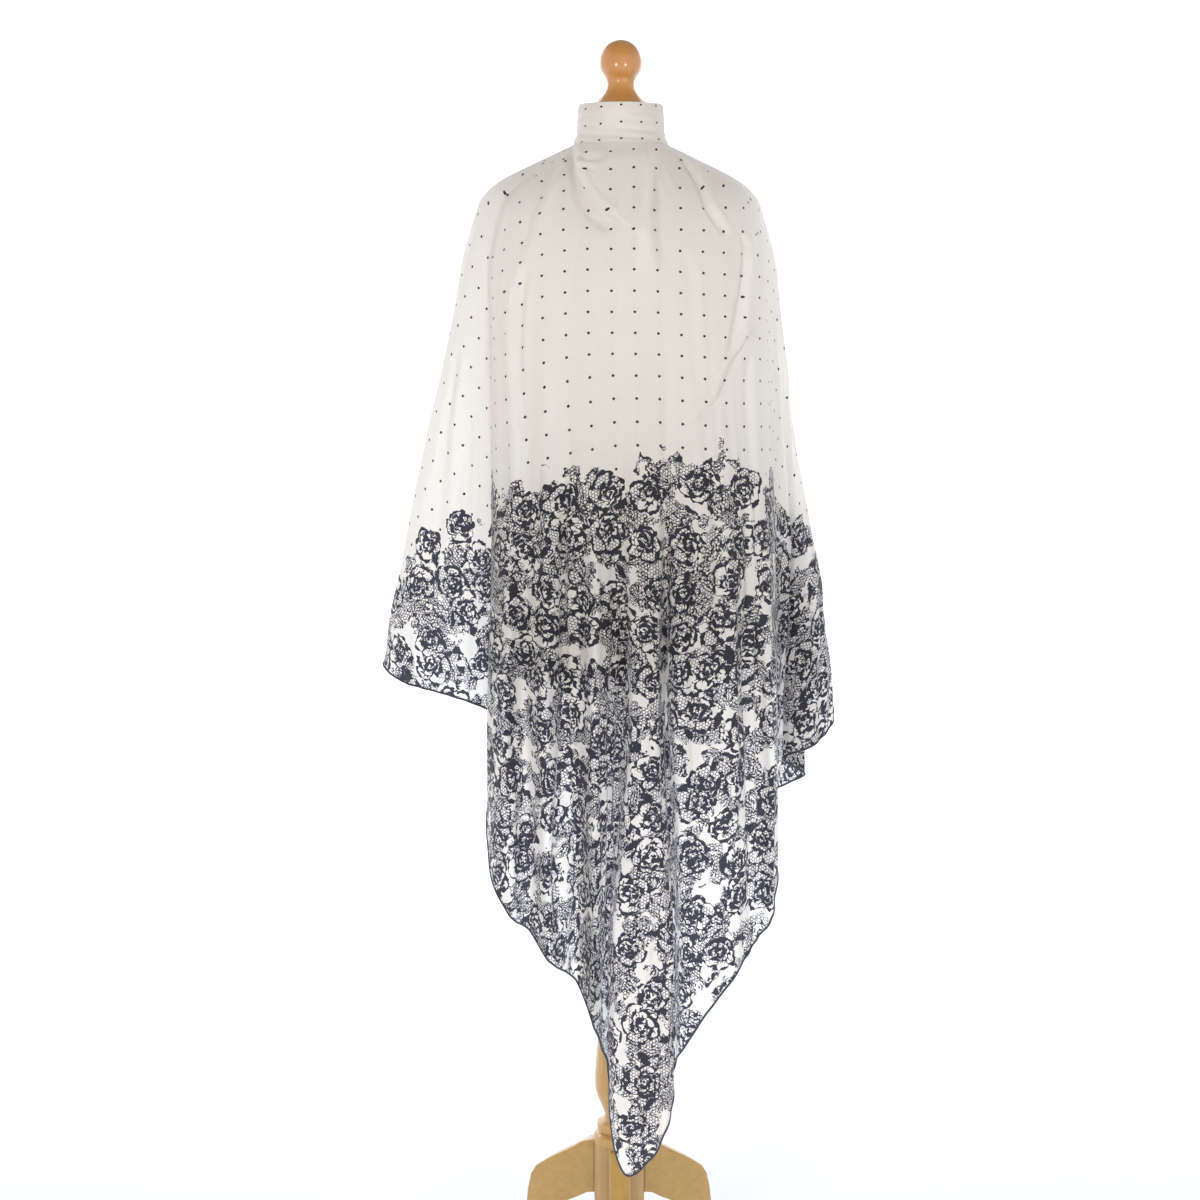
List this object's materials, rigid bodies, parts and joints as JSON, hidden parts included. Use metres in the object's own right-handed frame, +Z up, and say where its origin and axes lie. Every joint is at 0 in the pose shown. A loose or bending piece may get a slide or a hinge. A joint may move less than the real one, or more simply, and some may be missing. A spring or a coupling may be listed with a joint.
{
  "type": "silk scarf on a dress form stand",
  "caption": "Large square silk scarf worn on the diagonal over a limbless dress form, wound high at the neck, with cape-like sides and a long pointed front, on a turned wooden stand.",
  "frame": {"origin": "on the floor, at the centre of the bounding box's base", "axes": "+Z up, the scarf's front faces -Y, +X to the right seen from the front"},
  "size_m": [0.6123, 0.3275, 1.6805],
  "materials": {
    "silk": "smooth silk, cream with a navy lace and dot print",
    "form_cover": "matt jersey over a rigid form",
    "finial_wood": "high gloss amber varnish",
    "stand_wood": "satin varnish"
  },
  "bodies": {
    "root": {"scarf_neck_band": "silk", "scarf_cowl": "silk", "scarf_front": "silk", "scarf_fall_left": "silk", "scarf_fall_right": "silk", "scarf_back_left": "silk", "scarf_back_right": "silk", "form_torso": "form_cover", "finial": "finial_wood", "stand_pole": "stand_wood", "stand_hub": "stand_wood", "stand_leg_front": "stand_wood", "stand_leg_left": "stand_wood", "stand_leg_right": "stand_wood"}
  },
  "joints": []
}
